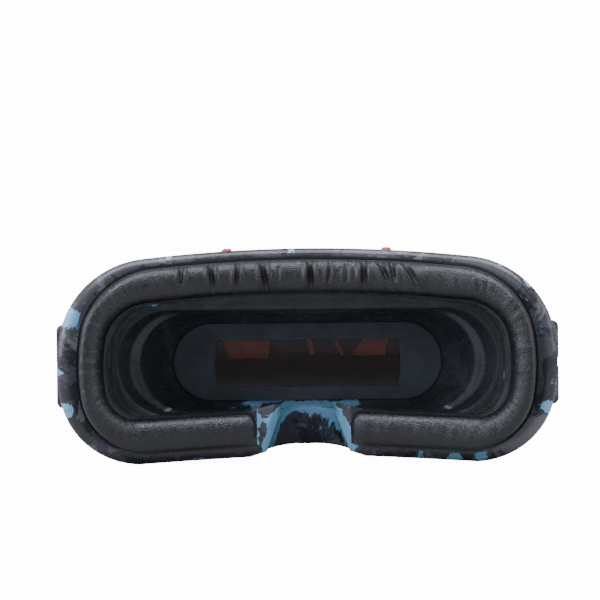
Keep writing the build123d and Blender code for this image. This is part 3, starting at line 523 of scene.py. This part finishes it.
def pad_section(outer, inner, fullness):
    """One ring of the pad's cover between its outer and inner edges, crowned like stuffed foam."""
    ring = []
    for step in range(PAD_RING):
        angle = 2 * pi * step / PAD_RING
        across = copysign(abs(cos(angle)) ** PAD_SQUARENESS[0], -cos(angle))
        up = copysign(abs(sin(angle)) ** PAD_SQUARENESS[1], sin(angle))
        middle = (outer + inner) / 2
        place = middle + (inner - outer) / 2 * across * fullness
        height = PAD_BASE + (PAD_CREST - PAD_BASE) * (0.5 + 0.5 * up * fullness)
        ring.append((place.x, place.y, height, up))
    return ring


def face_cushion():
    """The stuffed pad: one tube round the face, pinched along the brow and closed at the nose."""
    outer = whole_outline(PAD_OUTER_INSET, RIM_SQUEEZE)
    inner = whole_outline(PAD_INNER_INSET, 0.0)
    mesh = bmesh.new()
    travelled = [0.0]
    for before, after in zip(outer, outer[1:]):
        travelled.append(travelled[-1] + (after - before).length)
    total = travelled[-1]
    rings = []
    for index, (edge, lip) in enumerate(zip(outer, inner)):
        end_gap = min(travelled[index], total - travelled[index])
        closing = 1.0 - max(0.0, 1.0 - end_gap / PAD_END_ROUND)
        fullness = max(END_FULLNESS, sqrt(1.0 - (1.0 - closing) ** 2)) ** END_BLUNTNESS
        ring = []
        for x, z, height, up in pad_section(edge, lip, fullness):
            swell = noise.noise(Vector((x, z, 0.0)) * PAD_SWELL[0]) * PAD_SWELL[1]
            rippled = Vector((travelled[index] * PAD_RIPPLE[0], height * PAD_RIPPLE[1], RIPPLE_SLICE))
            ripple = noise.noise(rippled) * PAD_RIPPLE[2]
            height += max(0.0, up) * (swell + ripple - pinch(x, z))
            ring.append(mesh.verts.new(on_face(x, z, height)))
        rings.append(ring)
    for ring, following in zip(rings, rings[1:]):
        for step in range(PAD_RING):
            after = (step + 1) % PAD_RING
            mesh.faces.new((ring[step], ring[after], following[after], following[step]))
    mesh.faces.new(rings[0])
    mesh.faces.new(list(reversed(rings[-1])))
    bmesh.ops.recalc_face_normals(mesh, faces=mesh.faces)
    return finish_piece(mesh, "pad_cushion", MATERIALS["pad"])


def finish_piece(mesh, name, material):
    """Turns a bmesh into a smooth-shaded object that rides on the headset."""
    data = bpy.data.meshes.new(name)
    mesh.to_mesh(data)
    mesh.free()
    for polygon in data.polygons:
        polygon.use_smooth = True
    data.materials.append(material)
    piece = bpy.data.objects.new(name, data)
    bpy.context.scene.collection.objects.link(piece)
    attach(piece, "headset")
    return piece


def make_pad():
    """Puts the stuffed cushion in place of the plain solid pad."""
    cushion = face_cushion()
    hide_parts("face_pad")


# ------------------------------------------------------------ floor and lights
CAMERA_DISTANCE = 0.66
CAMERA_AZIMUTH = radians(0.2)
CAMERA_ELEVATION = radians(0.2)
CAMERA_ROLL = radians(-0.55)
FIELD_WIDTH = 0.2264  # how wide the picture is at the rim
SENSOR_WIDTH = 36.0
FRAME_SHIFT = (-0.012, 0.0905)
NEAREST = 0.01
AMBIENT = 0.40
BACKDROP = 14.0  # as bright as the camera sees the surroundings
COOL_WHITE = (0.88, 0.92, 1.0)
FLOOR_SIZE = 30.0
FLOOR_GREY = (0.45, 0.45, 0.45, 1.0)
FLOOR_GLOW = 14.0  # as bright as the camera sees the floor
RIM_MIDDLE = Vector((0.0, -0.030, 0.041))
# Each soft box: its name, place, width and power.
SOFT_BOXES = [
    ("top", (0.0, -0.35, 1.1), 0.8, 16.0),
    ("left", (-1.0, -0.35, 0.5), 0.8, 10.0),
    ("right", (1.0, -0.35, 0.5), 0.8, 5.0),
    ("front", (-0.75, -1.0, 0.55), 0.5, 2.2),
]


def add_light(name, place, size, power):
    """A square soft box that faces the goggles."""
    light = bpy.data.lights.new(name, "AREA")
    light.size = size
    light.energy = power
    light.color = COOL_WHITE
    lamp = bpy.data.objects.new(name, light)
    lamp.location = place
    lamp.rotation_euler = (RIM_MIDDLE - Vector(place)).to_track_quat("-Z", "Y").to_euler()
    bpy.context.scene.collection.objects.link(lamp)


def add_studio():
    """White surroundings that look brighter than they light, soft boxes and a pale floor."""
    world = bpy.data.worlds.new("studio")
    world.use_nodes = True
    tree = world.node_tree
    seen = tree.nodes.new("ShaderNodeLightPath").outputs["Is Camera Ray"]
    background = tree.nodes["Background"]
    tree.links.new(band(tree, seen, 0.0, 1.0, AMBIENT, BACKDROP), background.inputs["Strength"])
    tree.links.new(mix_color(tree, seen, COOL_WHITE, (1.0, 1.0, 1.0)), background.inputs["Color"])
    bpy.context.scene.world = world
    bpy.ops.mesh.primitive_plane_add(size=FLOOR_SIZE, location=(0, 0, 0))
    floor = bpy.context.object
    floor.name = "studio_floor"
    material, tree, shader = new_material("pale_floor")
    set_sockets(shader, Base_Color=FLOOR_GREY, Roughness=0.8, Emission_Color=(1.0, 1.0, 1.0, 1.0))
    seen = tree.nodes.new("ShaderNodeLightPath").outputs["Is Camera Ray"]
    tree.links.new(band(tree, seen, 0.0, 1.0, 0.0, FLOOR_GLOW), shader.inputs["Emission Strength"])
    floor.data.materials.append(material)
    for soft_box in SOFT_BOXES:
        add_light(*soft_box)


def add_camera():
    """Looks at the rim from the wearer's side, a touch from the right and above."""
    camera = bpy.data.cameras.new("camera")
    camera.sensor_width = SENSOR_WIDTH
    camera.lens = camera.sensor_width * CAMERA_DISTANCE / FIELD_WIDTH
    camera.shift_x, camera.shift_y = FRAME_SHIFT
    camera.clip_start = NEAREST
    eye = bpy.data.objects.new("camera", camera)
    toward = Vector((-sin(CAMERA_AZIMUTH) * cos(CAMERA_ELEVATION),
                     cos(CAMERA_AZIMUTH) * cos(CAMERA_ELEVATION),
                     -sin(CAMERA_ELEVATION)))
    eye.location = RIM_MIDDLE - toward * CAMERA_DISTANCE
    turn = toward.to_track_quat("-Z", "Y").to_matrix() @ Matrix.Rotation(CAMERA_ROLL, 3, "Z")
    eye.rotation_euler = turn.to_euler()
    bpy.context.scene.collection.objects.link(eye)
    bpy.context.scene.camera = eye


add_studio()
add_camera()
dress_nodes()
make_pad()
